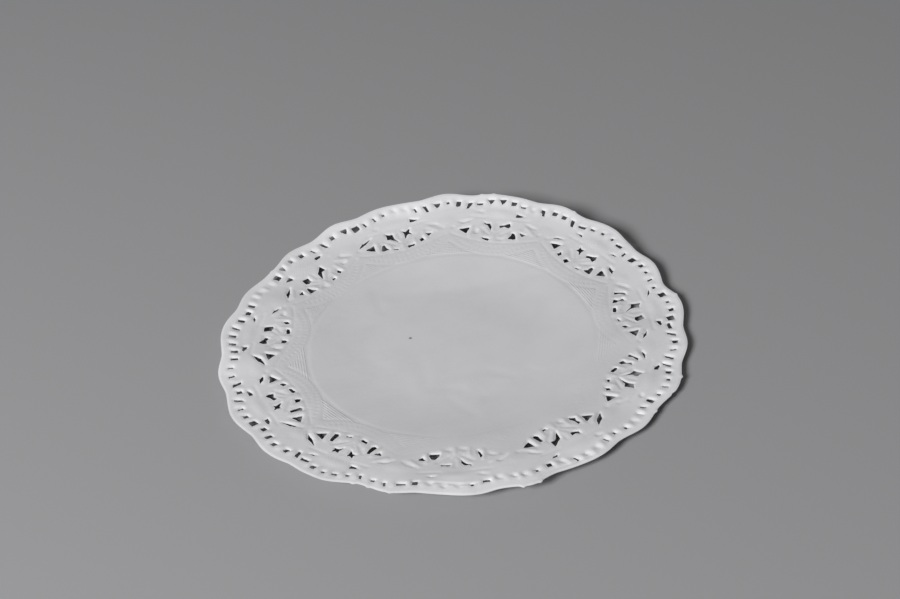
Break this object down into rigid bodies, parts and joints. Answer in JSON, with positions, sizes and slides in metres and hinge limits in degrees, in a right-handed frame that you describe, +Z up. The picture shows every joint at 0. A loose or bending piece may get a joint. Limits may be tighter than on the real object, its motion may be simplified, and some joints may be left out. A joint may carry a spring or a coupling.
{
  "type": "paper lace doily",
  "caption": "Round paper lace doily: one thin white sheet, die-cut and embossed, with a scalloped edge, a pierced lace border and a plain flat middle, its rim curling up a little",
  "frame": {"origin": "under the middle of the sheet, on the surface it lies on, at the centre of the box's base", "axes": "+Z up through the sheet, +X to the right and +Y away from a viewer in front; the side that curls up most is towards +Y"},
  "size_m": [0.1634, 0.1635, 0.01],
  "materials": {
    "paper": "matt white, embossed"
  },
  "bodies": {
    "root": {"doily": "paper"}
  },
  "joints": []
}
